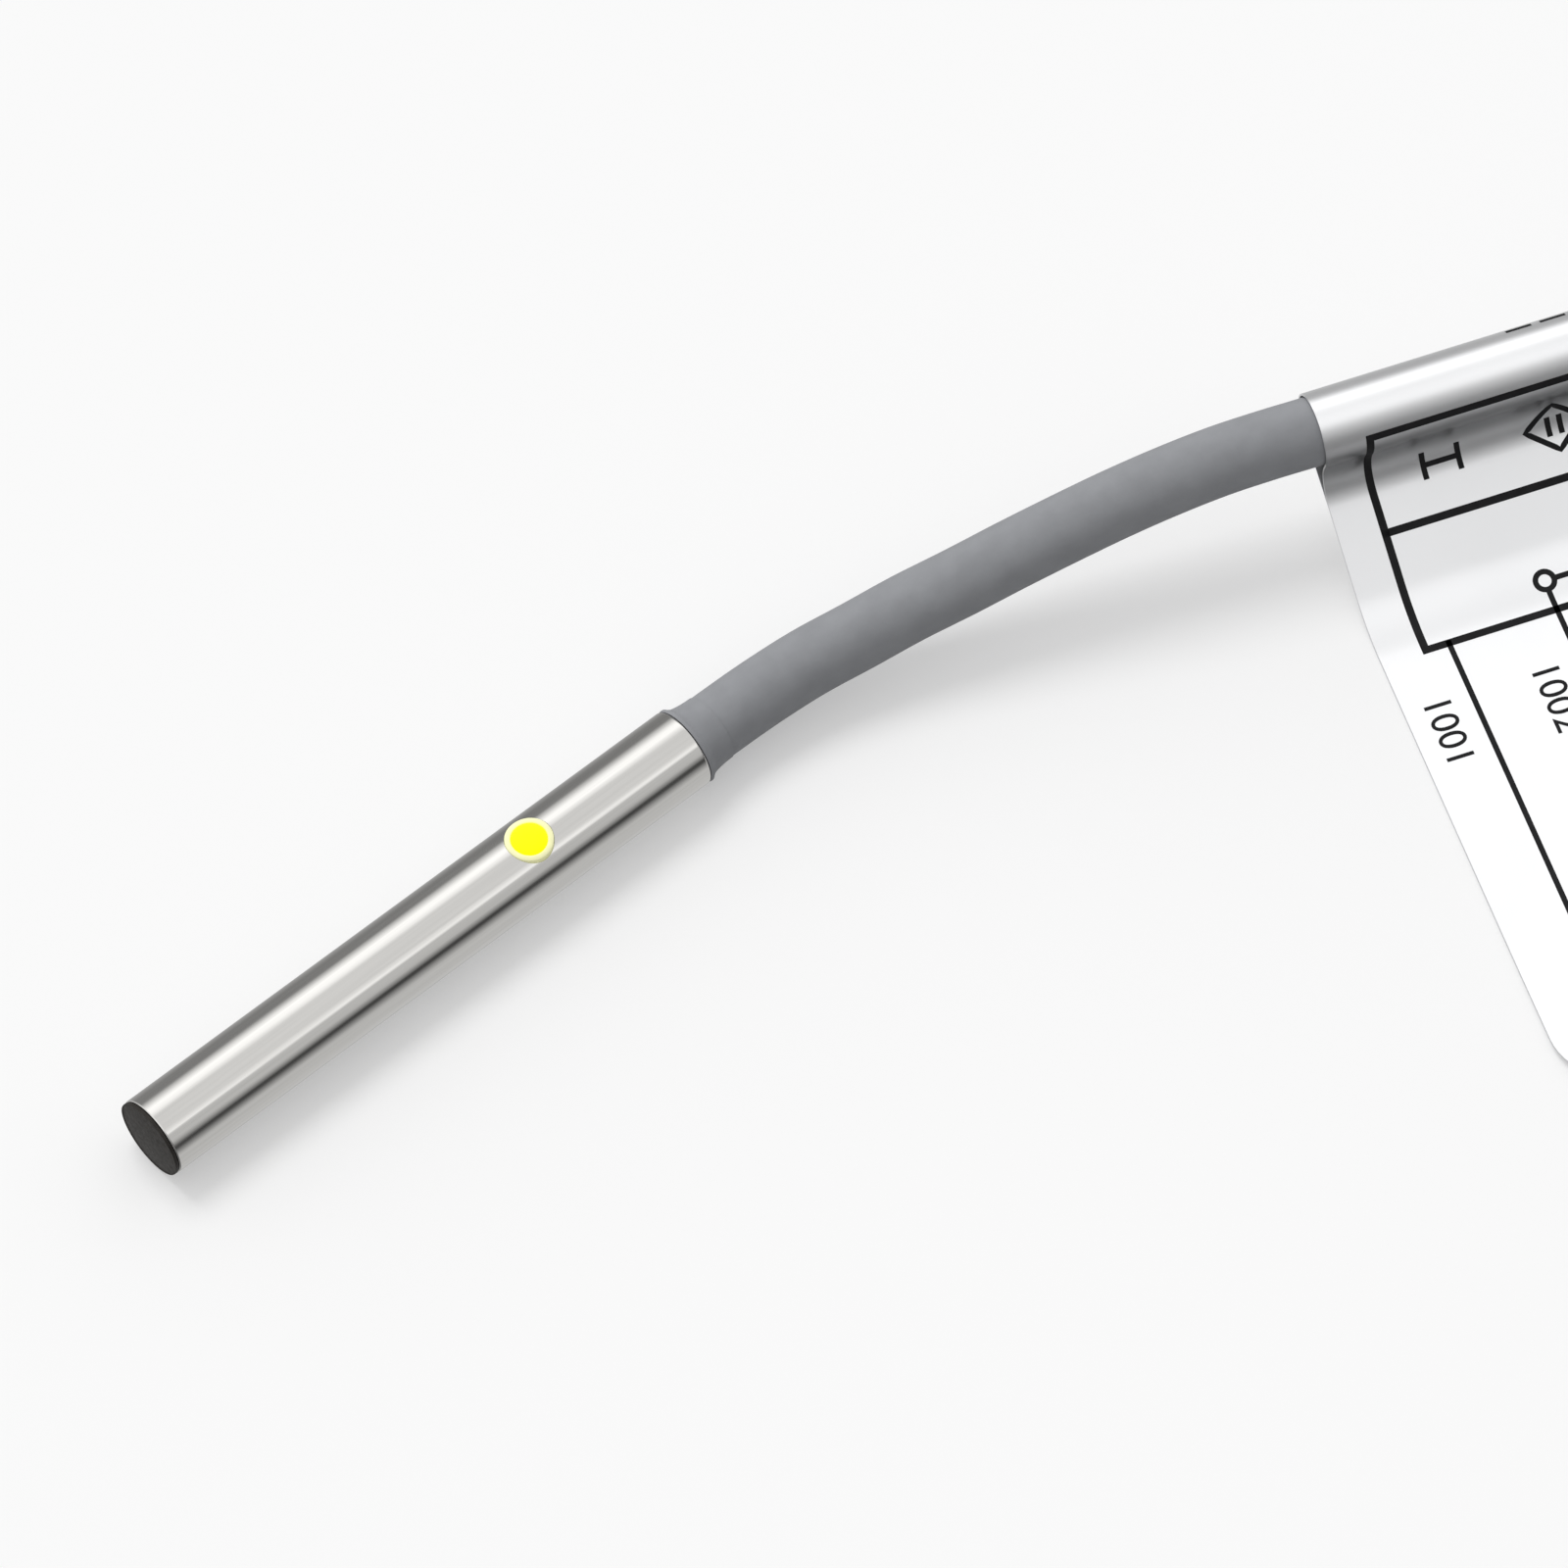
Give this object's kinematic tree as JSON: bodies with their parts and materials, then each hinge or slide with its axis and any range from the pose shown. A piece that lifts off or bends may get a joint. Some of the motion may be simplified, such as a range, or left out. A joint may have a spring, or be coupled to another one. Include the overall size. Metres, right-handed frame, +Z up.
{
  "type": "inductive proximity sensor",
  "caption": "Slim smooth-barrel inductive sensor with a black sensing face, yellow indicator, flying cable, wiring flag label and bare leads.",
  "frame": {"origin": "on the floor plane, under the middle of the barrel with its rear seal; the cable and what is on it are left out of that", "axes": "+X along the barrel from the sensing face to the cable end, +Z up with the indicator on top"},
  "size_m": [0.1317, 0.107, 0.0161],
  "materials": {
    "steel_barrel": "bright drawn stainless steel",
    "black_cap": "satin black engineering plastic",
    "grey_seal": "satin grey",
    "amber_window": "clear yellow",
    "pale_ring": "translucent pale resin",
    "ferrite": "dull dark ceramic",
    "bobbin": "natural plastic",
    "enamelled_copper": "enamelled copper wire",
    "board": "green solder mask",
    "chip_black": "moulded black",
    "chip_ceramic": "tan ceramic",
    "potting": "black casting resin",
    "brown_insulation": "satin vinyl",
    "black_insulation": "satin vinyl",
    "blue_insulation": "satin vinyl",
    "grey_jacket": "matt grey vinyl",
    "silver_film": "satin silver film",
    "tie_black": "black plastic-covered wire"
  },
  "bodies": {
    "root": {"barrel": "steel_barrel", "sensing_cap": "black_cap", "cable_seal": "grey_seal", "led_window": "amber_window", "led_ring": "pale_ring", "ferrite_core": "ferrite", "coil_bobbin": "bobbin", "coil_winding": "enamelled_copper", "coil_lead_a": "enamelled_copper", "coil_lead_b": "enamelled_copper", "circuit_board": "board", "oscillator_chip": "chip_black", "resonance_capacitor": "chip_ceramic", "filter_capacitor": "chip_ceramic", "supply_capacitor": "chip_ceramic", "distance_resistor": "chip_black", "bias_resistor": "chip_black", "led_resistor": "chip_black", "supply_regulator": "chip_black", "output_transistor": "chip_black", "protection_diode": "chip_black", "led_chip": "pale_ring", "rear_potting": "potting", "wire_brown": "brown_insulation", "wire_black": "black_insulation", "wire_blue": "blue_insulation", "lead_brown": "brown_insulation", "lead_black": "black_insulation", "lead_blue": "blue_insulation", "cable_run": "grey_jacket", "cable_coil": "grey_jacket", "cable_tail": "grey_jacket", "flag_label": "silver_film", "coil_tie": "tie_black"}
  },
  "joints": []
}
